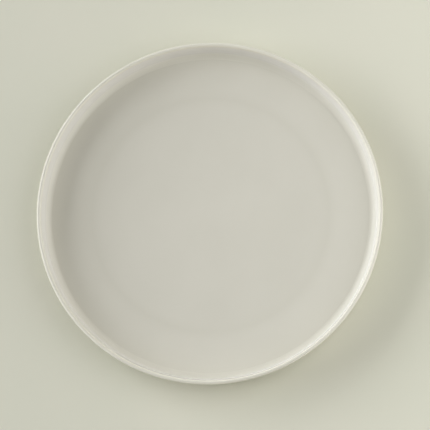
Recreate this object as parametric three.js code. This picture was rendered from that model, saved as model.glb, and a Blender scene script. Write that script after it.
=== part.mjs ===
// Round serving plate with a wide well, an upright wall that flares a little, and a rounded lip.
//
// The plate is a body of revolution about +Z, in millimetres, and stands on its foot ring at z = 0.
// A fired clay body carries two coats of glaze. One covers the face, the lip and the outside down to
// the foot ring, and the other covers the recess inside the foot ring. The foot ring between them is
// wiped clean before firing, so it is bare clay.
//
// The half section is drawn in (radius, height) coordinates, anticlockwise: from the middle of the
// recess out to the foot ring, round the heel, up the outside, over the lip, down the inside of the
// wall and back along the face to the axis. Each coat is the parallel surface of the clay under it.

import * as THREE from "three";

// Driving dimensions of the plate as it is used, glaze included
const PLATE_DIAMETER = 270; // across the lip
const WELL_DEPTH = 17; // from the top of the lip down to the flat of the well
const FLOOR_THICKNESS = 5; // from the well to the recess
const FOOT_HEIGHT = 3; // from the table to the recess
const LIP_THICKNESS = 3; // the lip is a full round of this width

// Wall and the corners at its root
const INNER_FLARE_DEGREES = 9; // lean of the inside of the wall
const OUTER_FLARE_DEGREES = 7; // lean of the outside, less than inside, so that the wall thickens downwards
const COVE_RADIUS = 7; // hollow corner between the shoulder and the wall, in the clay
const HEEL_RADIUS = 9; // outer corner between the wall and the underside, in the clay

// Shoulder: the part of the floor that climbs from the flat of the well to the wall
const SHOULDER_WIDTH = 36.5; // from the flat of the well to the root of the wall
const SHOULDER_RISE_DEGREES = 4;
const SHOULDER_BLEND_RADIUS = 100; // soft bend between the flat and the shoulder

// Foot ring, bare clay, under the bend of the floor
const FOOT_OUTSET = 2; // from the edge of the flat out to the outer edge of the bearing face
const FOOT_WIDTH = 4; // bearing face, before its edges are rounded
const FOOT_DRAFT_DEGREES = 20; // lean of both sides of the ring
const FOOT_EDGE_RADIUS = 0.8;
const FOOT_FILLET_RADIUS = 2; // between the ring and the underside

// Glaze
const GLAZE_THICKNESS = 0.4; // from the clay to the surface
const BOND_GAP = 0.02; // hairline that keeps the coat and the clay two separate solids
const BARE_BAND = 0.9; // height of bare clay on the sides of the foot ring, up to the edge of the glaze

// Facets of the curves
const TURN_STEPS = 60; // round the axis
const LIP_QUARTER_STEPS = 3;
const COVE_STEPS = 6;
const HEEL_STEPS = 6;
const BLEND_STEPS = 3;
const FILLET_STEPS = 3;
const FOOT_EDGE_STEPS = 2;
const GLAZE_EDGE_STEPS = 2;

// Finishes, as they look in even light
const GLAZE_COLOUR = 0xd2cec2;
const GLAZE_ROUGHNESS = 0.15;
const CLAY_COLOUR = 0xd9cdb8;
const CLAY_ROUGHNESS = 0.85;

const innerFlare = THREE.MathUtils.degToRad(INNER_FLARE_DEGREES);
const outerFlare = THREE.MathUtils.degToRad(OUTER_FLARE_DEGREES);
const shoulderRise = THREE.MathUtils.degToRad(SHOULDER_RISE_DEGREES);
const footDraft = THREE.MathUtils.degToRad(FOOT_DRAFT_DEGREES);

// Levels and radii of the clay that the rest of the section hangs on
const plateHeight = FOOT_HEIGHT + FLOOR_THICKNESS + WELL_DEPTH;
const clayFaceLevel = FOOT_HEIGHT + FLOOR_THICKNESS - GLAZE_THICKNESS;
const clayRecessLevel = FOOT_HEIGHT + GLAZE_THICKNESS;
const clayLipRadius = LIP_THICKNESS / 2 - GLAZE_THICKNESS;
const coatDepth = GLAZE_THICKNESS - BOND_GAP;
const lipCentre = new THREE.Vector2((PLATE_DIAMETER - LIP_THICKNESS) / 2, plateHeight - LIP_THICKNESS / 2);

// A straight side of the section: a point on it and its direction
function side(point, direction) {
  return { point, direction: direction.clone().normalize() };
}

// The point of a side at a given height
function pointAtHeight({ point, direction }, height) {
  return point.clone().addScaledVector(direction, (height - point.y) / direction.y);
}

// The point where two sides cross
function crossing(first, second) {
  const between = second.point.clone().sub(first.point);
  const distance = between.cross(second.direction) / first.direction.cross(second.direction);
  return first.point.clone().addScaledVector(first.direction, distance);
}

// The side that runs beside another one, moved to its right by a distance
function parallelSide({ point, direction }, distance) {
  return side(point.clone().addScaledVector(rightOf(direction), distance), direction);
}

// A station of the section is a point of the clay's surface with its outward normal, which lies to the
// right of the direction of travel.
function rightOf(direction) {
  return new THREE.Vector2(direction.y, -direction.x);
}

function station(point, normal) {
  return { point, normal };
}

// Stations along an arc whose normal turns by an angle from a first direction. A left turn bulges
// outwards, away from its centre, and a right turn is hollow.
function arc(centre, radius, firstNormalAngle, turn, steps) {
  return Array.from({ length: steps + 1 }, (_, step) => {
    const angle = firstNormalAngle + (turn * step) / steps;
    const normal = new THREE.Vector2(Math.cos(angle), Math.sin(angle));
    return station(centre.clone().addScaledVector(normal, radius * Math.sign(turn)), normal);
  });
}

// Stations of a corner between two straight sides, rounded by an arc that is tangent to both. The arc
// is limited by the shorter of its two sides.
function roundedCorner(before, corner, after, radius, steps) {
  const arriving = corner.clone().sub(before);
  const leaving = after.clone().sub(corner);
  const turn = Math.atan2(arriving.cross(leaving), arriving.dot(leaving));
  const tangentPerRadius = Math.tan(Math.abs(turn) / 2);
  const room = Math.min(arriving.length(), leaving.length());
  const fittingRadius = Math.min(radius, room / tangentPerRadius);
  const normal = rightOf(arriving).normalize();
  const centre = corner
    .clone()
    .addScaledVector(arriving.normalize(), -fittingRadius * tangentPerRadius)
    .addScaledVector(normal, -fittingRadius * Math.sign(turn));
  return arc(centre, fittingRadius, normal.angle(), turn, steps);
}

// The parallel surface at a height over the clay
function raised(stations, height) {
  return stations.map(({ point, normal }) => point.clone().addScaledVector(normal, height));
}

function points(stations) {
  return stations.map(({ point }) => point);
}

// Round edge of a coat: a quarter circle about the foot of its last full-thickness station, from the
// coat's surface down to its underside on the side that the edge faces.
function coatEdge({ point, normal }, towardsEdge) {
  return Array.from({ length: GLAZE_EDGE_STEPS }, (_, step) => {
    const angle = ((step + 1) / GLAZE_EDGE_STEPS) * (Math.PI / 2);
    return point
      .clone()
      .addScaledVector(normal, BOND_GAP + coatDepth * Math.cos(angle))
      .addScaledVector(towardsEdge, coatDepth * Math.sin(angle));
  });
}

// Sides of the wall, tangent to the round of the lip
const outerNormal = new THREE.Vector2(Math.cos(outerFlare), -Math.sin(outerFlare));
const innerNormal = new THREE.Vector2(-Math.cos(innerFlare), Math.sin(innerFlare));
const outerWall = side(
  lipCentre.clone().addScaledVector(outerNormal, clayLipRadius),
  new THREE.Vector2(Math.sin(outerFlare), Math.cos(outerFlare)),
);
const innerWall = side(
  lipCentre.clone().addScaledVector(innerNormal, clayLipRadius),
  new THREE.Vector2(-Math.sin(innerFlare), -Math.cos(innerFlare)),
);

// Shoulder, on the face and on the underside, which is parallel to it
const flatRadius = pointAtHeight(innerWall, clayFaceLevel).x - SHOULDER_WIDTH;
const flatEdge = new THREE.Vector2(flatRadius, clayFaceLevel);
const shoulder = side(flatEdge, new THREE.Vector2(Math.cos(shoulderRise), Math.sin(shoulderRise)));
const underShoulder = parallelSide(shoulder, clayFaceLevel - clayRecessLevel);

// Foot ring
const footOuterRadius = flatRadius + FOOT_OUTSET;
const footInnerRadius = footOuterRadius - FOOT_WIDTH;
const footOuterEdge = new THREE.Vector2(footOuterRadius, 0);
const footInnerEdge = new THREE.Vector2(footInnerRadius, 0);
const footOuterSide = side(footOuterEdge, new THREE.Vector2(Math.sin(footDraft), Math.cos(footDraft)));
const footInnerSide = side(footInnerEdge, new THREE.Vector2(Math.sin(footDraft), -Math.cos(footDraft)));

// Where each coat ends on the foot ring, and where it starts to thin towards that end
const outerGlazeEnd = pointAtHeight(footOuterSide, BARE_BAND);
const innerGlazeEnd = pointAtHeight(footInnerSide, BARE_BAND);
const outerGlazeShoulder = outerGlazeEnd.clone().addScaledVector(footOuterSide.direction, coatDepth);
const innerGlazeShoulder = innerGlazeEnd.clone().addScaledVector(footInnerSide.direction, -coatDepth);

// Corners of the clay
const faceCentre = new THREE.Vector2(0, clayFaceLevel);
const recessCentre = new THREE.Vector2(0, clayRecessLevel);
const innerFootRoot = pointAtHeight(footInnerSide, clayRecessLevel);
const outerFootRoot = crossing(underShoulder, footOuterSide);
const heel = crossing(underShoulder, outerWall);
const cove = crossing(shoulder, innerWall);

// Round of the lip, with stations at its widest and highest points, which set the size of the plate
const quarterTurn = Math.PI / 2;
const lipRound = [
  station(outerWall.point, outerNormal),
  ...arc(lipCentre, clayLipRadius, 0, quarterTurn, LIP_QUARTER_STEPS),
  ...arc(lipCentre, clayLipRadius, quarterTurn, quarterTurn - innerFlare, LIP_QUARTER_STEPS).slice(1),
];

// The clay's surface in three stretches: under the inner coat, bare, and under the outer coat
const up = new THREE.Vector2(0, 1);
const down = new THREE.Vector2(0, -1);
const recessSurface = [
  station(recessCentre, down),
  ...roundedCorner(recessCentre, innerFootRoot, innerGlazeShoulder, FOOT_FILLET_RADIUS, FILLET_STEPS),
  station(innerGlazeShoulder, rightOf(footInnerSide.direction)),
];
const bareSurface = [
  innerGlazeEnd,
  ...points(roundedCorner(innerGlazeEnd, footInnerEdge, footOuterEdge, FOOT_EDGE_RADIUS, FOOT_EDGE_STEPS)),
  ...points(roundedCorner(footInnerEdge, footOuterEdge, outerGlazeEnd, FOOT_EDGE_RADIUS, FOOT_EDGE_STEPS)),
  outerGlazeEnd,
];
const faceSurface = [
  station(outerGlazeShoulder, rightOf(footOuterSide.direction)),
  ...roundedCorner(outerGlazeShoulder, outerFootRoot, heel, FOOT_FILLET_RADIUS, FILLET_STEPS),
  ...roundedCorner(outerFootRoot, heel, outerWall.point, HEEL_RADIUS, HEEL_STEPS),
  ...lipRound,
  ...roundedCorner(innerWall.point, cove, flatEdge, COVE_RADIUS, COVE_STEPS),
  ...roundedCorner(cove, flatEdge, faceCentre, SHOULDER_BLEND_RADIUS, BLEND_STEPS),
  station(faceCentre, up),
];

// Closed half sections, each starting and ending on the axis
const bodySection = [...points(recessSurface), ...bareSurface, ...points(faceSurface)];
const faceGlazeSection = [
  ...raised(faceSurface, BOND_GAP).reverse(),
  ...coatEdge(faceSurface[0], footOuterSide.direction.clone().negate()).reverse(),
  ...raised(faceSurface, GLAZE_THICKNESS),
];
const undersideGlazeSection = [
  ...raised(recessSurface, GLAZE_THICKNESS),
  ...coatEdge(recessSurface.at(-1), footInnerSide.direction),
  ...raised(recessSurface, BOND_GAP).reverse(),
];

// A solid turned about +Z from its half section
function turned(name, section, finish) {
  const geometry = new THREE.LatheGeometry(section, TURN_STEPS);
  geometry.rotateX(Math.PI / 2);
  const mesh = new THREE.Mesh(geometry, new THREE.MeshStandardMaterial(finish));
  mesh.name = name;
  return mesh;
}

const clay = { color: CLAY_COLOUR, roughness: CLAY_ROUGHNESS, metalness: 0 };
const glaze = { color: GLAZE_COLOUR, roughness: GLAZE_ROUGHNESS, metalness: 0 };

const plate = new THREE.Group();
plate.name = "serving_plate";
plate.add(
  turned("clay_body", bodySection, clay),
  turned("face_glaze", faceGlazeSection, glaze),
  turned("underside_glaze", undersideGlazeSection, glaze),
);

export default plate;
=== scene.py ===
"""Round serving plate: a fired clay body on a bare foot ring, under two coats of glossy off-white glaze.

Every piece is a body of revolution about +Z, in metres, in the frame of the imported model, and the plate
stands on its foot ring at z = 0. A half section is an array of stations. Each station is one row that holds
a radius, a height and the outward normal there, and a run of stations goes anticlockwise: from the middle
of the recess under the plate, round the foot ring, up the outside, over the lip and back along the face.
"""

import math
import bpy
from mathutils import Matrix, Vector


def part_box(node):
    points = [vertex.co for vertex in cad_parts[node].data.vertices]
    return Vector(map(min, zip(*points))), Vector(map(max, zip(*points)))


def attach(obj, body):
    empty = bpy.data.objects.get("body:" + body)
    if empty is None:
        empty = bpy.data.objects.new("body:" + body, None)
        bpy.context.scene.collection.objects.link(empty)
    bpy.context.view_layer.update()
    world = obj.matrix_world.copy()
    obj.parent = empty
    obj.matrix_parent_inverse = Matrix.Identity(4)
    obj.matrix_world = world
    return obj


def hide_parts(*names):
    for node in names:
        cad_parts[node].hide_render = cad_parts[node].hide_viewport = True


bl_info = {
    "name": "Serving plate",
    "version": (1, 0, 0),
    "blender": (4, 5, 0),
    "location": "3D View > Sidebar > Plate",
    "description": "A glazed round serving plate with a bare foot ring, and a plain stage to see it on",
    "category": "Add Mesh",
}

import bpy
import numpy as np
from mathutils import Matrix, Vector

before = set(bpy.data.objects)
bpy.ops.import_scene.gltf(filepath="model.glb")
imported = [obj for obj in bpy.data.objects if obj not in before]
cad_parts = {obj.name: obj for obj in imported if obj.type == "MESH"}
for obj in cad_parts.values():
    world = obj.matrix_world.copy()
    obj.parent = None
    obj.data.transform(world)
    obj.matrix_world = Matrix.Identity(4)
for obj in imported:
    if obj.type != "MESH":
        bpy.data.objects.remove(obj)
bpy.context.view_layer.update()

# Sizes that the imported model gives
LIP_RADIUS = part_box("face_glaze")[1].x
PLATE_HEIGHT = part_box("face_glaze")[1].z
GLAZE_THICKNESS = LIP_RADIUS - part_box("clay_body")[1].x

# Body that every piece rides on
BODY = "root"

# Fineness of the meshes
TURNS = 288
LONGEST_STEP = 0.004
WIDEST_ARC_STEP = math.radians(6)
SHARP_CORNER = math.radians(40)

# Where most values of smooth noise lie
NOISE_SPAN = (0.3, 0.7)

# Half the side of the floor
FLOOR_REACH = 8.0

# How far the mirrored key stands in front of the key that lights, so that neither hides the other
GLINT_LEAD = 0.06

# Side of the photograph, in pixels
PICTURE_SIDE = 430


# Values that a user may change

def length(name, description, default):
    """A length in metres."""
    return bpy.props.FloatProperty(
        name=name, description=description, default=default, precision=5, subtype="DISTANCE", unit="LENGTH"
    )


def angle(name, description, degrees):
    """An angle, which is given in degrees."""
    return bpy.props.FloatProperty(
        name=name, description=description, default=math.radians(degrees), subtype="ANGLE", unit="ROTATION"
    )


def colour(name, description, default):
    """A colour as linear red, green and blue."""
    return bpy.props.FloatVectorProperty(
        name=name, description=description, default=default, size=3, min=0.0, max=1.0, subtype="COLOR"
    )


def power(name, description, default):
    """The power of a lamp, in watts."""
    return bpy.props.FloatProperty(
        name=name, description=description, default=default, min=0.0, subtype="POWER", unit="POWER"
    )


def strength(name, description, default):
    """A plain number from 0 up."""
    return bpy.props.FloatProperty(name=name, description=description, default=default, min=0.0)


def pixels(name, description, default):
    """A length in the picture."""
    return bpy.props.FloatProperty(name=name, description=description, default=default, subtype="PIXEL")


class PlateSizes(bpy.types.PropertyGroup):
    """Sizes of the plate as it is used, glaze included"""

    lip_radius: length("Lip radius", "From the axis to the outside of the lip", LIP_RADIUS)
    height: length("Height", "From the bearing face to the top of the lip", PLATE_HEIGHT)
    floor_thickness: length("Floor thickness", "From the well to the recess", 0.005)
    foot_height: length("Foot height", "From the bearing face to the recess", 0.003)
    lip_thickness: length("Lip thickness", "Width of the lip, which is a full round", 0.003)
    inner_flare: angle("Inner flare", "Lean of the inside of the wall", 9)
    outer_flare: angle("Outer flare", "Lean of the outside of the wall", 7)
    cove_radius: length("Cove radius", "Hollow corner of the clay at the root of the wall", 0.007)
    heel_radius: length("Heel radius", "Outer corner of the clay below the wall", 0.009)
    shoulder_width: length("Shoulder width", "From the flat of the well to the root of the wall", 0.0365)
    shoulder_rise: angle("Shoulder rise", "Climb of the floor from the flat to the wall", 4)
    shoulder_blend: length("Shoulder blend", "Radius of the soft bend where the flat ends", 0.1)
    foot_outset: length("Foot outset", "From the end of the flat to the outer edge of the foot ring", 0.002)
    foot_width: length("Foot width", "Bearing face, before its edges are rounded", 0.004)
    foot_draft: angle("Foot draft", "Lean of both sides of the foot ring", 20)
    foot_edge: length("Foot edge", "Radius of the edges of the bearing face", 0.0008)
    foot_fillet: length("Foot fillet", "Radius between the foot ring and the underside", 0.002)
    glaze: length("Glaze", "From the clay to the surface of the glaze", GLAZE_THICKNESS)
    bond: length("Bond", "Hairline between the glaze and the clay", 0.00002)
    bare_band: length("Bare band", "Bare clay on the sides of the foot ring, up to the glaze", 0.0009)
    edge_wave: length("Edge wave", "How far the wiped edge of the glaze strays up and down", 0.00018)
    lip_warp: length("Lip warp", "How far the kiln lifts and drops the lip", 0.0002)
    ovality: length("Ovality", "How far the kiln draws the lip out of round", 0.0002)
    sag: length("Sag", "How far the floor sinks inside the foot ring", 0.0002)


class PlateFinish(bpy.types.PropertyGroup):
    """Colours of the glaze and the clay, as they look in even light"""

    glaze: colour("Glaze", "Off-white glaze at its usual thickness", (0.677, 0.656, 0.571))
    glaze_cloud: colour("Clouded glaze", "Faint cloudy patches in the glaze", (0.660, 0.640, 0.555))
    pooled: colour("Pooled glaze", "Glaze that ran together in a hollow", (0.651, 0.631, 0.545))
    # Paler, more neutral tone on the steep walls: partly glaze drained thin, partly painted sheen of
    # reflected light
    drained_and_sheen: colour("Drained glaze", "Paler glaze that partly ran off the wall", (0.686, 0.672, 0.622))
    thin: colour("Thin glaze", "Glaze drawn thin over an edge", (0.700, 0.678, 0.588))
    clay: colour("Clay", "Bare fired clay", (0.694, 0.610, 0.479))
    clay_grain: colour("Clay grain", "Darker grains in the clay", (0.560, 0.475, 0.355))
    clay_rub: colour("Rubbed clay", "Grey rub on the bearing face", (0.470, 0.425, 0.360))


class PlateStage(bpy.types.PropertyGroup):
    """Lamps, floor and camera"""

    key_power: power("Key power", "Wide soft lamp, low and far off at the left", 185.5)
    key_glint: power("Key glint", "Power of the key as the glaze mirrors it, kept low against glare", 40.0)
    key_colour: colour("Key colour", "Slightly cool daylight", (0.932, 0.955, 1.0))
    key_bearing: angle("Key bearing", "Side that the key stands on, anticlockwise from +X", 163)
    key_elevation: angle("Key elevation", "Height of the key over the floor, seen from the plate", 21)
    key_distance: length("Key distance", "From the plate to the key", 4.0)
    key_width: length("Key width", "Level side of the key", 4.0)
    key_height: length("Key height", "Upright side of the key", 2.2)
    fill_power: power("Fill power", "Soft lamp close by at the right", 7.2)
    fill_colour: colour("Fill colour", "Plain white", (1.0, 1.0, 1.0))
    fill_bearing: angle("Fill bearing", "Side that the fill stands on, anticlockwise from +X", 0)
    fill_elevation: angle("Fill elevation", "Height of the fill over the floor, seen from the plate", 40)
    fill_distance: length("Fill distance", "From the plate to the fill", 0.95)
    fill_width: length("Fill width", "Level side of the fill", 1.1)
    fill_height: length("Fill height", "Upright side of the fill", 1.1)
    ambient: strength("Ambient", "Even light from all round", 0.132)
    ambient_colour: colour("Ambient colour", "Slightly warm white", (1.0, 0.98, 0.94))
    glow: strength("Glow", "Light from low down all round, added to the ambient light", 2.53)
    glow_reach: strength("Glow reach", "Height on the unit sphere at which the glow is down to 1 / e", 0.2)
    floor: colour("Floor", "Pale floor", (0.715, 0.704, 0.590))
    floor_cloud: colour("Clouded floor", "Faint patches in the floor", (0.692, 0.692, 0.574))
    backdrop: colour("Backdrop", "Pale background round the floor", (0.600, 0.598, 0.500))
    fade_start: length("Fade start", "From the plate to where the floor starts to fade", 0.25)
    fade_end: length("Fade end", "From the plate to where only the backdrop is seen", 0.9)
    camera_distance: length("Camera distance", "From the middle of the lip to the camera", 1.3)
    camera_tilt: angle("Camera tilt", "Between the plate's axis and the line of sight", 11.3)
    camera_bearing: angle("Camera bearing", "Side to which the camera leans, anticlockwise from +X", -71.5)
    plate_pixels: pixels("Plate width", "Width of the lip in the picture", 347.5)
    left_pixels: pixels("Left of centre", "How far left of the picture's middle the plate is", 5.2)
    up_pixels: pixels("Above centre", "How far above the picture's middle the plate is", 1.6)


# Half section

def direction(angle_from_radius):
    """The unit vector at an angle from the outward radius towards +Z."""
    return np.array([math.cos(angle_from_radius), math.sin(angle_from_radius)])


def right_of(travel):
    """A direction turned a quarter turn clockwise, which is the outside of a run that travels along it."""
    return np.array([travel[1], -travel[0]])


def crossing(point, travel, other_point, other_travel):
    """The point where two straight sides meet: point + s * travel = other point + t * other travel."""
    sides = np.column_stack([travel, -other_travel])
    return point + np.linalg.solve(sides, other_point - point)[0] * travel


def at_height(point, travel, height):
    """The point of a straight side at a height."""
    return point + travel * (height - point[1]) / travel[1]


def station(point, normal):
    """One station, as a run of a single row."""
    return np.concatenate([point, normal])[None, :]


def arc(centre, radius, first_angle, turn):
    """Stations centre + radius * n, where the normal n turns by an angle from its first direction.

    A turn to the left bulges away from the centre. A turn to the right is hollow, so there the surface lies
    at centre - radius * n.
    """
    steps = math.ceil(max(abs(turn) / WIDEST_ARC_STEP, abs(turn) * radius / LONGEST_STEP))
    angles = first_angle + turn * np.linspace(0.0, 1.0, steps + 1)
    normals = np.column_stack([np.cos(angles), np.sin(angles)])
    return np.hstack([centre + math.copysign(radius, turn) * normals, normals])


def rounded_corner(before, corner, after, radius):
    """Stations of the arc that is tangent to both sides of a corner.

    Its ends lie radius * tan(half the turn) from the corner, and its centre lies one radius off the side,
    on the inside of the turn.
    """
    arriving = corner - before
    leaving = after - corner
    turn = math.atan2(arriving[0] * leaving[1] - arriving[1] * leaving[0], arriving @ leaving)
    arriving = arriving / np.linalg.norm(arriving)
    normal = right_of(arriving)
    first = corner - arriving * radius * math.tan(abs(turn) / 2)
    centre = first - normal * math.copysign(radius, turn)
    return arc(centre, radius, math.atan2(normal[1], normal[0]), turn)


def filled_in(run):
    """A run with stations added evenly along its straight stretches, so that no step is too long.

    Each stretch is cut into as many equal steps as its length holds longest steps, rounded up.
    """
    rounding = 1e-6
    gaps = np.linalg.norm(np.diff(run[:, :2], axis=0), axis=1)
    shares = np.maximum(1, np.ceil(gaps / LONGEST_STEP - rounding)).astype(int)
    first = np.cumsum(shares) - shares
    within = (np.arange(shares.sum()) - np.repeat(first, shares)) / np.repeat(shares, shares)
    places = np.append(np.repeat(np.arange(len(gaps)), shares) + within, len(gaps))
    known = np.arange(len(run))
    return np.column_stack([np.interp(places, known, column) for column in run.T])


def raised(run, height):
    """The points of the parallel surface at a height over the clay."""
    return run[:, :2] + height * run[:, 2:]


class HalfSection:
    """Clay surface of the plate, in three runs: recess (inner coat), bare, and face (outer coat).

    The lip is a full round. The inside and outside of the wall are straight and tangent to it, the shoulder
    climbs from the flat of the well to the wall, and the underside runs parallel to the shoulder. Every
    corner is an arc.
    """

    def __init__(self, sizes):
        self.sizes = sizes
        face_level = sizes.foot_height + sizes.floor_thickness - sizes.glaze
        recess_level = sizes.foot_height + sizes.glaze
        lip_round = sizes.lip_thickness / 2 - sizes.glaze
        lip_centre = np.array([sizes.lip_radius, sizes.height]) - sizes.lip_thickness / 2

        outer_wall = direction(math.pi / 2 - sizes.outer_flare)
        inner_wall = direction(-math.pi / 2 - sizes.inner_flare)
        outer_point = lip_centre + lip_round * right_of(outer_wall)
        inner_point = lip_centre + lip_round * right_of(inner_wall)

        flat_radius = at_height(inner_point, inner_wall, face_level)[0] - sizes.shoulder_width
        flat_edge = np.array([flat_radius, face_level])
        shoulder = direction(sizes.shoulder_rise)
        under_point = flat_edge + right_of(shoulder) * (face_level - recess_level)

        outer_edge = np.array([flat_radius + sizes.foot_outset, 0.0])
        inner_edge = outer_edge - np.array([sizes.foot_width, 0.0])
        self.outer_side = direction(math.pi / 2 - sizes.foot_draft)
        self.inner_side = direction(sizes.foot_draft - math.pi / 2)
        outer_end = at_height(outer_edge, self.outer_side, sizes.bare_band)
        inner_end = at_height(inner_edge, self.inner_side, sizes.bare_band)
        self.coat_depth = sizes.glaze - sizes.bond
        outer_full = outer_end + self.outer_side * self.coat_depth
        inner_full = inner_end - self.inner_side * self.coat_depth

        face_centre = np.array([0.0, face_level])
        recess_centre = np.array([0.0, recess_level])
        inner_root = at_height(inner_edge, self.inner_side, recess_level)
        outer_root = crossing(under_point, shoulder, outer_edge, self.outer_side)
        heel = crossing(under_point, shoulder, outer_point, outer_wall)
        cove = crossing(flat_edge, shoulder, inner_point, inner_wall)

        recess_fillet = rounded_corner(recess_centre, inner_root, inner_full, sizes.foot_fillet)
        face_fillet = rounded_corner(outer_full, outer_root, heel, sizes.foot_fillet)
        self.recess = filled_in(np.vstack([
            station(recess_centre, np.array([0.0, -1.0])),
            recess_fillet,
            station(inner_full, right_of(self.inner_side)),
        ]))
        self.bare = np.vstack([
            station(inner_end, right_of(self.inner_side)),
            rounded_corner(inner_end, inner_edge, outer_edge, sizes.foot_edge),
            rounded_corner(inner_edge, outer_edge, outer_end, sizes.foot_edge),
            station(outer_end, right_of(self.outer_side)),
        ])
        self.face = filled_in(np.vstack([
            station(outer_full, right_of(self.outer_side)),
            face_fillet,
            rounded_corner(outer_root, heel, outer_point, sizes.heel_radius),
            arc(lip_centre, lip_round, -sizes.outer_flare, math.pi - sizes.inner_flare + sizes.outer_flare),
            rounded_corner(inner_point, cove, flat_edge, sizes.cove_radius),
            rounded_corner(cove, flat_edge, face_centre, sizes.shoulder_blend),
            station(face_centre, np.array([0.0, 1.0])),
        ]))
        self.foot_radius = inner_edge[0]
        self.foot_roots = (inner_root[0], outer_root[0])
        self.fillet_start = min(recess_fillet[-1, 1], face_fillet[0, 1])

    def coat_edge(self, last, towards_edge):
        """Round edge of a coat: a quarter circle from its surface to its underside.

        The circle is centred on the underside, at the last station where the coat has its full thickness.
        """
        step = 2 * WIDEST_ARC_STEP
        angles = np.arange(0.0, math.pi / 2, step)[1:]
        angles = np.append(angles, math.pi / 2)[:, None]
        across = self.sizes.bond + self.coat_depth * np.cos(angles)
        along = self.coat_depth * np.sin(angles)
        return last[:2] + across * last[2:] + along * towards_edge


# Turned surfaces

def edge_wander(angles):
    """How the wiped edge of the glaze strays round the foot ring, from -1 to 1.

    It is the sum of share * sin(count * angle + phase) over four slow waves, whose shares add up to 1.
    """
    counts = np.array([2, 5, 9, 16])
    shares = np.array([0.40, 0.28, 0.20, 0.12])
    phases = np.array([0.7, 2.9, 1.3, 4.4])
    return (shares * np.sin(counts * angles[:, None] + phases)).sum(axis=1)


def turned_points(section, slide):
    """Rings of points (r cos a, r sin a, z) for the inner stations of a section, and its ends on the axis.

    Each station first slides by its own row of slide, times the stray of the glaze's edge at the angle a.
    """
    angles = np.linspace(0.0, 2 * math.pi, TURNS, endpoint=False)
    stray = edge_wander(angles)[None, :]
    radii = section[1:-1, :1] + slide[1:-1, :1] * stray
    heights = section[1:-1, 1:] + slide[1:-1, 1:] * stray
    rings = np.stack([radii * np.cos(angles), radii * np.sin(angles), heights], axis=-1)
    ends = np.column_stack([np.zeros((2, 2)), section[[0, -1], 1]])
    return np.vstack([rings.reshape(-1, 3), ends])


def lip_lift(angles):
    """How the kiln lifts and drops the lip, from -1 to 1: a saddle and a weaker wave of three crests."""
    saddle_share = 0.7
    saddle_phase = -0.9
    crests_phase = 0.4
    saddle = np.cos(2 * angles + saddle_phase)
    crests = np.cos(3 * angles + crests_phase)
    return saddle_share * saddle + (1 - saddle_share) * crests


def fired(points, sizes, foot_radius):
    """Kiln warp, the same for every piece: none at the foot ring, and growing towards the lip.

    The lip lifts and drops and draws out of round along one diameter, as the square of the way from the
    foot ring to the lip. The floor inside the foot ring sags as the square of 1 - (r / foot radius) squared.
    """
    draw_phase = -2.2
    radii = np.hypot(points[:, 0], points[:, 1])
    angles = np.arctan2(points[:, 1], points[:, 0])
    beyond = np.clip((radii - foot_radius) / (sizes.lip_radius - foot_radius), 0.0, None) ** 2
    drawn = beyond * sizes.ovality * np.cos(2 * angles + draw_phase)
    stretch = drawn / np.maximum(radii, foot_radius)
    inside = np.clip(1 - (radii / foot_radius) ** 2, 0.0, None) ** 2
    heights = points[:, 2] + sizes.lip_warp * beyond * lip_lift(angles) - sizes.sag * inside
    return np.column_stack([points[:, :2] * (1 + stretch[:, None]), heights])


def turned_faces(stations):
    """Corners and first corners of the faces: quads between neighbouring rings, and a fan round either end.

    The corners run along the turn first and along the section next, so that every face points outwards.
    """
    rings = stations - 2
    turn = np.arange(TURNS)
    onward = (turn + 1) % TURNS
    base = TURNS * np.arange(rings - 1)[:, None]
    quads = np.stack([base + turn, base + onward, base + TURNS + onward, base + TURNS + turn], axis=-1)
    first_end = np.full(TURNS, rings * TURNS)
    last_ring = (rings - 1) * TURNS
    first_fan = np.column_stack([first_end, onward, turn])
    last_fan = np.column_stack([last_ring + turn, last_ring + onward, first_end + 1])
    quad_count = (rings - 1) * TURNS
    corners = np.concatenate([quads.ravel(), first_fan.ravel(), last_fan.ravel()])
    starts = np.concatenate([4 * np.arange(quad_count), 4 * quad_count + 3 * np.arange(2 * TURNS)])
    return corners, starts


def turned_mesh(name, section, slide, sizes, foot_radius):
    """A smooth closed mesh turned from a section that starts and ends on the axis."""
    points = fired(turned_points(section, slide), sizes, foot_radius)
    corners, starts = turned_faces(len(section))
    mesh = bpy.data.meshes.new(name)
    mesh.vertices.add(len(points))
    mesh.vertices.foreach_set("co", points.ravel())
    mesh.loops.add(len(corners))
    mesh.loops.foreach_set("vertex_index", corners)
    mesh.polygons.add(len(starts))
    mesh.polygons.foreach_set("loop_start", starts)
    mesh.polygons.foreach_set("use_smooth", np.ones(len(starts), dtype=bool))
    mesh.update(calc_edges=True)
    if mesh.validate():
        raise RuntimeError(f"the mesh of {name} has faulty faces")
    mesh.set_sharp_from_angle(angle=SHARP_CORNER)
    return mesh


def gathering(section):
    """How the molten glaze gathers along a section, from -1 on a sharp edge to 1 in a tight hollow.

    It is the bend of the section, as turn per length to the right, averaged over a bell of a few
    millimetres and multiplied by a length.
    """
    bell_width = 0.0016
    full_bend_radius = 0.006
    steps = np.diff(section, axis=0)
    lengths = np.linalg.norm(steps, axis=1)
    places = np.concatenate([[0.0], np.cumsum(lengths)])
    headings = np.unwrap(np.arctan2(steps[:, 1], steps[:, 0]))
    turns = np.concatenate([[0.0], np.diff(headings), [0.0]])
    bells = np.exp(-(((places[:, None] - places) / bell_width) ** 2)) / (bell_width * math.sqrt(math.pi))
    return np.clip(-full_bend_radius * (bells @ turns), -1.0, 1.0)


def steepness(section):
    """How steep a section is at its stations, as rise over length: 0 is level and 1 is upright."""
    steps = np.diff(section, axis=0)
    around = np.vstack([steps[:1], steps[:-1] + steps[1:], steps[-1:]])
    return np.abs(around[:, 1]) / np.linalg.norm(around, axis=1)


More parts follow.
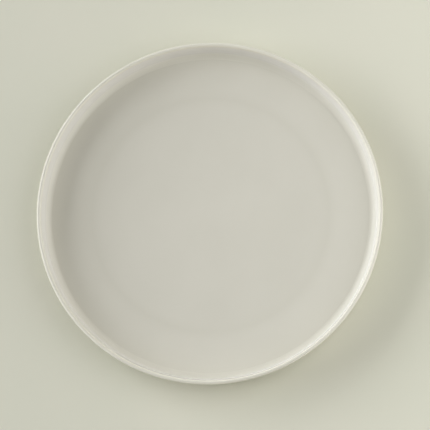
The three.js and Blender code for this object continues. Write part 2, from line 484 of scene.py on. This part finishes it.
def over_foot(section, radii):
    """Where the clay is thick over the foot ring, from 0 to 1.

    It is a soft step up at the inner root of the ring and a soft step down at its outer root. Each is
    half a tanh of the way from the root.
    """
    softness = 0.0012
    steps = (radii[:, None] - np.array(section.foot_roots)) / softness
    return np.tanh(steps) @ np.array([0.5, -0.5])


def add_ring_values(mesh, name, values):
    """Stores one value per station as a point attribute, in the order of the turned points."""
    spread = np.concatenate([np.repeat(values[1:-1], TURNS), values[[0, -1]]])
    mesh.attributes.new(name, "FLOAT", "POINT").data.foreach_set("value", spread)


def coat_mesh(name, section, inner, outer, edge, side):
    """A coat of glaze, closed by a round edge that strays along the foot ring.

    The stations slide along the side of the foot ring by the edge wave, in full at the edge of the coat and
    not at all where the fillet over the foot starts.
    """
    sizes = section.sizes
    run = np.vstack([inner, edge, outer])
    lowest = run[:, 1].min()
    share = np.clip((section.fillet_start - run[:, 1]) / (section.fillet_start - lowest), 0.0, 1.0)
    mesh = turned_mesh(name, run, sizes.edge_wave * share[:, None] * side, sizes, section.foot_radius)
    add_ring_values(mesh, "gathering", gathering(run))
    add_ring_values(mesh, "steepness", steepness(run))
    add_ring_values(mesh, "over_foot", over_foot(section, run[:, 0]))
    return mesh


def add_piece(name, mesh, material, node):
    """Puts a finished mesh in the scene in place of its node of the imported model."""
    mesh.materials.append(material)
    piece = bpy.data.objects.new(name, mesh)
    bpy.context.scene.collection.objects.link(piece)
    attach(piece, BODY)
    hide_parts(node)


# Nodes

def add_node(tree, kind, sockets=None, **settings):
    """Adds a node with its settings. Each socket is given a value, or is wired to another node's output."""
    node = tree.nodes.new(kind)
    for name, value in settings.items():
        setattr(node, name, value)
    for key, value in (sockets or {}).items():
        set_socket(tree, node.inputs[key], value)
    return node


def set_socket(tree, socket, value):
    """Gives a socket a value, or wires it to another node's output."""
    if isinstance(value, bpy.types.NodeSocket):
        tree.links.new(value, socket)
    else:
        socket.default_value = value


def opaque(rgb):
    """A colour with full alpha."""
    return (*rgb, 1.0)


def noise(tree, place, per_metre, detail):
    """Smooth noise from 0 to 1, with a number of features to the metre and layers of finer detail."""
    sockets = {"Vector": place, "Scale": per_metre, "Detail": detail}
    return add_node(tree, "ShaderNodeTexNoise", sockets).outputs["Fac"]


def remapped(tree, value, low, high, new_low=0.0, new_high=1.0):
    """A value carried from one range to another and held inside it."""
    sockets = {"Value": value, "From Min": low, "From Max": high, "To Min": new_low, "To Max": new_high}
    return add_node(tree, "ShaderNodeMapRange", sockets).outputs["Result"]


def combined(tree, operation, first, second):
    """Two values joined by a sum, a product or the like."""
    return add_node(tree, "ShaderNodeMath", {0: first, 1: second}, operation=operation).outputs["Value"]


def mixed(tree, share, first, second):
    """Two colours mixed by a share from 0 to 1."""
    node = add_node(tree, "ShaderNodeMix", data_type="RGBA")
    by_identifier = {socket.identifier: socket for socket in node.inputs}
    for key, value in (("Factor_Float", share), ("A_Color", first), ("B_Color", second)):
        set_socket(tree, by_identifier[key], value)
    return next(socket for socket in node.outputs if socket.identifier == "Result_Color")


def bumped(tree, height, depth, base=None, invert=False):
    """The normal of a surface raised by a height times a depth, on top of a base normal if there is one."""
    sockets = {"Height": height, "Distance": depth}
    if base:
        sockets["Normal"] = base
    return add_node(tree, "ShaderNodeBump", sockets, invert=invert).outputs["Normal"]


def ring_value(tree, name):
    """The value of that name which the stations of a piece carry."""
    return add_node(tree, "ShaderNodeAttribute", attribute_name=name).outputs["Fac"]


def new_material(name):
    """An empty node material, with its shader and its Object coordinates."""
    material = bpy.data.materials.new(name)
    material.use_nodes = True
    tree = material.node_tree
    shader = tree.nodes["Principled BSDF"]
    place = add_node(tree, "ShaderNodeTexCoord").outputs["Object"]
    return material, tree, shader, place


# Materials

def glaze_tone(tree, finish, place, gathered, steep):
    """Faint clouds, deeper where pooled, paler where drawn thin; on the wall drained glaze plus painted
    sheen.
    """
    clouds_per_metre = 24.0
    hollow_bends = (0.1, 1.0)
    hollow_shares = (0.0, 0.3)
    wall_slopes = (0.7, 0.95)
    edge_bends = (-0.1, -0.8)

    clouds = remapped(tree, noise(tree, place, clouds_per_metre, detail=3.0), *NOISE_SPAN)
    tone = mixed(tree, clouds, opaque(finish.glaze), opaque(finish.glaze_cloud))
    hollow = remapped(tree, gathered, *hollow_bends, *hollow_shares)
    pool = combined(tree, "MAXIMUM", hollow, ring_value(tree, "over_foot"))
    tone = mixed(tree, pool, tone, opaque(finish.pooled))
    # Steep walls take a paler, more neutral tone: partly drained glaze, partly painted sheen of reflected
    # light
    tone = mixed(tree, remapped(tree, steep, *wall_slopes), tone, opaque(finish.drained_and_sheen))
    return mixed(tree, remapped(tree, gathered, *edge_bends), tone, opaque(finish.thin))


def glaze_roughness(tree, place, gathered, steep):
    """Gloss that changes in soft patches, dulled where the glaze pooled in the low part of the cove."""
    patches_per_metre = 70.0
    roughness = (0.10, 0.16)
    cove_bends = (0.3, 0.9)
    low_slopes = (0.9, 0.7)
    dulling = 0.3

    gloss = remapped(tree, noise(tree, place, patches_per_metre, detail=2.0), *NOISE_SPAN, *roughness)
    cove = remapped(tree, gathered, *cove_bends)
    low_cove = combined(tree, "MULTIPLY", cove, remapped(tree, steep, *low_slopes))
    return combined(tree, "ADD", gloss, combined(tree, "MULTIPLY", low_cove, dulling))


def glaze_relief(tree, place):
    """The normal of a soft ripple with rare pinholes: one cell in five has a dimple in its middle."""
    ripples_per_metre = 240.0
    ripple_height = 0.000004
    cells_per_metre = 60.0
    dimpled_cells = (0.80, 0.82)
    dimple_edge = (0.008, 0.018)
    dimple_depth = 0.00006

    cells = add_node(tree, "ShaderNodeTexVoronoi", {"Vector": place, "Scale": cells_per_metre}).outputs
    chance = add_node(tree, "ShaderNodeSeparateColor", {"Color": cells["Color"]}).outputs["Red"]
    dimple = remapped(tree, cells["Distance"], *dimple_edge, new_low=1.0, new_high=0.0)
    pinholes = combined(tree, "MULTIPLY", dimple, remapped(tree, chance, *dimpled_cells))
    rippled = bumped(tree, noise(tree, place, ripples_per_metre, detail=2.0), ripple_height)
    return bumped(tree, pinholes, dimple_depth, rippled, invert=True)


def glaze_material(finish):
    """Glossy off-white glaze, which both coats share."""
    name = "off_white_glaze"
    refraction = 1.52
    if name in bpy.data.materials:
        return bpy.data.materials[name]
    material, tree, shader, place = new_material(name)
    gathered = ring_value(tree, "gathering")
    steep = ring_value(tree, "steepness")
    tree.links.new(glaze_tone(tree, finish, place, gathered, steep), shader.inputs["Base Color"])
    tree.links.new(glaze_roughness(tree, place, gathered, steep), shader.inputs["Roughness"])
    tree.links.new(glaze_relief(tree, place), shader.inputs["Normal"])
    shader.inputs["IOR"].default_value = refraction
    return material


def clay_material(finish):
    """Bare fired clay: matte cream with darker grains, fine turning lines and a grey rub where it bears."""
    grains_per_metre = 1500.0
    grain_span = (0.52, 0.72)
    grain_shares = (0.0, 0.55)
    grain_depth = 0.00004
    patches_per_metre = 160.0
    patch_span = (0.4, 0.65)
    bearing_heights = (0.0004, 0.00005)
    full_rub = 0.6
    roughness = (0.88, 0.7)
    line_spacing = 0.0005
    line_depth = 0.000006

    material, tree, shader, place = new_material("bare_clay")
    axes = add_node(tree, "ShaderNodeSeparateXYZ", {"Vector": place}).outputs
    grain = noise(tree, place, grains_per_metre, detail=2.0)
    grains = remapped(tree, grain, *grain_span, *grain_shares)
    tone = mixed(tree, grains, opaque(finish.clay), opaque(finish.clay_grain))
    patches = remapped(tree, noise(tree, place, patches_per_metre, detail=3.0), *patch_span)
    bearing = remapped(tree, axes["Z"], *bearing_heights)
    rubbed = combined(tree, "MULTIPLY", combined(tree, "MULTIPLY", patches, bearing), full_rub)
    tone = mixed(tree, rubbed, tone, opaque(finish.clay_rub))
    tree.links.new(tone, shader.inputs["Base Color"])
    tree.links.new(remapped(tree, rubbed, 0.0, full_rub, *roughness), shader.inputs["Roughness"])

    level = add_node(tree, "ShaderNodeCombineXYZ", {"X": axes["X"], "Y": axes["Y"]}).outputs["Vector"]
    radius = add_node(tree, "ShaderNodeVectorMath", {0: level}, operation="LENGTH").outputs["Value"]
    phase = combined(tree, "MULTIPLY", radius, 2 * math.pi / line_spacing)
    lines = add_node(tree, "ShaderNodeMath", {0: phase}, operation="SINE").outputs["Value"]
    turned = bumped(tree, lines, line_depth)
    tree.links.new(bumped(tree, grain, grain_depth, turned), shader.inputs["Normal"])
    return material


def floor_material(stage):
    """Pale matte floor with faint patches, which fades into the backdrop well away from the plate."""
    patches_per_metre = 9.0
    roughness = 0.9
    material, tree, shader, place = new_material("pale_floor")
    patches = remapped(tree, noise(tree, place, patches_per_metre, detail=4.0), *NOISE_SPAN)
    tone = mixed(tree, patches, opaque(stage.floor), opaque(stage.floor_cloud))
    tree.links.new(tone, shader.inputs["Base Color"])
    shader.inputs["Roughness"].default_value = roughness

    away = add_node(tree, "ShaderNodeVectorMath", {0: place}, operation="LENGTH").outputs["Value"]
    far = remapped(tree, away, stage.fade_start, stage.fade_end)
    seen = add_node(tree, "ShaderNodeLightPath").outputs["Is Camera Ray"]
    share = combined(tree, "MULTIPLY", far, seen)
    backdrop = add_node(tree, "ShaderNodeEmission", {"Color": opaque(stage.backdrop)})
    faded = add_node(tree, "ShaderNodeMixShader", {0: share, 1: shader.outputs[0], 2: backdrop.outputs[0]})
    tree.links.new(faded.outputs[0], tree.nodes["Material Output"].inputs["Surface"])
    return material


# Stage

def light_world(stage):
    """Soft light from all round, and the pale backdrop for what is seen past the floor or in a reflection.

    The light is ambient + glow * exp(-(height / reach) squared), for a height on the unit sphere.
    """
    world = bpy.data.worlds.new("even_light")
    world.use_nodes = True
    tree = world.node_tree
    rays = add_node(tree, "ShaderNodeLightPath").outputs
    seen = combined(tree, "MAXIMUM", rays["Is Camera Ray"], rays["Is Glossy Ray"])
    seen = combined(tree, "MAXIMUM", seen, rays["Is Transmission Ray"])
    light = tree.nodes["Background"]
    light.inputs["Color"].default_value = opaque(stage.ambient_colour)
    outwards = add_node(tree, "ShaderNodeTexCoord").outputs["Generated"]
    height = add_node(tree, "ShaderNodeSeparateXYZ", {"Vector": outwards}).outputs["Z"]
    share = combined(tree, "DIVIDE", height, stage.glow_reach)
    sunk = combined(tree, "POWER", math.exp(-1.0), combined(tree, "MULTIPLY", share, share))
    brightness = combined(tree, "ADD", combined(tree, "MULTIPLY", sunk, stage.glow), stage.ambient)
    tree.links.new(brightness, light.inputs["Strength"])
    backdrop = add_node(tree, "ShaderNodeBackground", {"Color": opaque(stage.backdrop), "Strength": 1.0})
    choice = add_node(tree, "ShaderNodeMixShader", {0: seen, 1: light.outputs[0], 2: backdrop.outputs[0]})
    tree.links.new(choice.outputs[0], tree.nodes["World Output"].inputs["Surface"])
    bpy.context.scene.world = world


def add_softbox(stage, name, use, lead=0.0):
    """A soft rectangular lamp at a bearing and an elevation from the plate, turned to face it.

    Its use says which of the lamp's powers it takes, and its lead brings it nearer to the plate.
    """
    def given(value):
        return getattr(stage, f"{name}_{value}")

    lamp = bpy.data.lights.new(f"{name}_{use}", "AREA")
    lamp.shape = "RECTANGLE"
    lamp.size = given("width")
    lamp.size_y = given("height")
    lamp.energy = given(use)
    lamp.color = given("colour")
    level = Vector((math.cos(given("bearing")), math.sin(given("bearing")), 0.0))
    away = level * math.cos(given("elevation")) + Vector((0.0, 0.0, math.sin(given("elevation"))))
    softbox = bpy.data.objects.new(f"{name}_{use}", lamp)
    softbox.location = away * (given("distance") - lead)
    softbox.rotation_euler = away.to_track_quat("Z", "Y").to_euler()
    bpy.context.scene.collection.objects.link(softbox)
    return softbox


def add_floor(stage):
    """A square of floor under the plate."""
    signs = [(-1, -1), (1, -1), (1, 1), (-1, 1)]
    corners = [(FLOOR_REACH * x, FLOOR_REACH * y, 0.0) for x, y in signs]
    mesh = bpy.data.meshes.new("floor")
    mesh.from_pydata(corners, [], [range(len(corners))])
    mesh.materials.append(floor_material(stage))
    floor = bpy.data.objects.new("floor", mesh)
    bpy.context.scene.collection.objects.link(floor)


def add_camera(stage, sizes):
    """The camera, on a line through the middle of the lip that leans off the axis by the tilt, +Y upwards.

    The lens is sensor * distance * (pixels of the lip / pixels of the picture) / lip diameter. The near
    side of the lip looks larger, which carries the middle of its outline towards the camera by about
    radius squared * sin(tilt) / distance, so the picture is shifted by that much more.
    """
    data = bpy.data.cameras.new("camera")
    share = stage.plate_pixels / PICTURE_SIDE / (2 * sizes.lip_radius)
    data.lens = data.sensor_width * stage.camera_distance * share
    side = Vector((math.cos(stage.camera_bearing), math.sin(stage.camera_bearing), 0.0))
    lean = side * math.sin(stage.camera_tilt)
    nearer = lean * sizes.lip_radius**2 / stage.camera_distance * share
    data.shift_x = stage.left_pixels / PICTURE_SIDE + nearer.x
    data.shift_y = -stage.up_pixels / PICTURE_SIDE + nearer.y
    back = lean + Vector((0.0, 0.0, math.cos(stage.camera_tilt)))
    right = Vector((0.0, 1.0, 0.0)).cross(back).normalized()
    axes = Matrix((right, back.cross(right), back)).transposed()
    camera = bpy.data.objects.new("camera", data)
    camera.location = Vector((0.0, 0.0, sizes.height)) + back * stage.camera_distance
    camera.rotation_euler = axes.to_euler()
    bpy.context.scene.collection.objects.link(camera)
    bpy.context.scene.camera = camera


# Operators

class PLATE_OT_clay_body(bpy.types.Operator):
    """Turn the clay body, with its bare foot ring"""

    bl_idname = "plate.clay_body"
    bl_label = "Clay body"

    def execute(self, context):
        sizes = context.scene.plate_sizes
        section = HalfSection(sizes)
        run = np.vstack([section.recess, section.bare, section.face])[:, :2]
        mesh = turned_mesh("fired_clay", run, np.zeros_like(run), sizes, section.foot_radius)
        material = clay_material(context.scene.plate_finish)
        add_piece("fired_clay", mesh, material, "clay_body")
        return {"FINISHED"}


class PLATE_OT_face_glaze(bpy.types.Operator):
    """Coat the face, the lip and the outside down to the foot ring"""

    bl_idname = "plate.face_glaze"
    bl_label = "Face glaze"

    def execute(self, context):
        sizes = context.scene.plate_sizes
        section = HalfSection(sizes)
        edge = section.coat_edge(section.face[0], -section.outer_side)[::-1]
        inner = raised(section.face, sizes.bond)[::-1]
        outer = raised(section.face, sizes.glaze)
        mesh = coat_mesh("face_coat", section, inner, outer, edge, section.outer_side)
        material = glaze_material(context.scene.plate_finish)
        add_piece("face_coat", mesh, material, "face_glaze")
        return {"FINISHED"}


class PLATE_OT_underside_glaze(bpy.types.Operator):
    """Coat the recess inside the foot ring"""

    bl_idname = "plate.underside_glaze"
    bl_label = "Underside glaze"

    def execute(self, context):
        sizes = context.scene.plate_sizes
        section = HalfSection(sizes)
        edge = section.coat_edge(section.recess[-1], section.inner_side)
        inner = raised(section.recess, sizes.bond)[::-1]
        outer = raised(section.recess, sizes.glaze)
        mesh = coat_mesh("underside_coat", section, outer, inner, edge, -section.inner_side)
        material = glaze_material(context.scene.plate_finish)
        add_piece("underside_coat", mesh, material, "underside_glaze")
        return {"FINISHED"}


class PLATE_OT_stage(bpy.types.Operator):
    """Set the floor, the lamps and the camera"""

    bl_idname = "plate.stage"
    bl_label = "Stage"

    def execute(self, context):
        stage = context.scene.plate_stage
        context.scene.view_settings.view_transform = "Standard"
        add_floor(stage)
        light_world(stage)
        add_softbox(stage, "key", "power").visible_glossy = False
        add_softbox(stage, "key", "glint", GLINT_LEAD).visible_diffuse = False
        add_softbox(stage, "fill", "power")
        add_camera(stage, context.scene.plate_sizes)
        return {"FINISHED"}


class PLATE_PT_sidebar(bpy.types.Panel):
    """The plate's pieces, sizes, finishes and stage"""

    bl_idname = "PLATE_PT_sidebar"
    bl_label = "Serving plate"
    bl_space_type = "VIEW_3D"
    bl_region_type = "UI"
    bl_category = "Plate"

    def draw(self, context):
        for operator in OPERATORS:
            self.layout.operator(operator.bl_idname)
        for name in GROUPS:
            box = self.layout.box()
            values = getattr(context.scene, name)
            for key in type(values).__annotations__:
                box.prop(values, key)


GROUPS = {"plate_sizes": PlateSizes, "plate_finish": PlateFinish, "plate_stage": PlateStage}
OPERATORS = (PLATE_OT_clay_body, PLATE_OT_face_glaze, PLATE_OT_underside_glaze, PLATE_OT_stage)
CLASSES = (*GROUPS.values(), *OPERATORS, PLATE_PT_sidebar)


def register():
    """Registers the classes and puts each group of values on the scene."""
    for each in CLASSES:
        bpy.utils.register_class(each)
    for name, group in GROUPS.items():
        setattr(bpy.types.Scene, name, bpy.props.PointerProperty(type=group))


def unregister():
    """Takes the groups off the scene and unregisters the classes."""
    for name in GROUPS:
        delattr(bpy.types.Scene, name)
    for each in reversed(CLASSES):
        bpy.utils.unregister_class(each)


def main():
    """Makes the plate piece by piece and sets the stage."""
    register()
    bpy.ops.plate.clay_body()
    bpy.ops.plate.face_glaze()
    bpy.ops.plate.underside_glaze()
    bpy.ops.plate.stage()


if __name__ == "__main__":
    main()
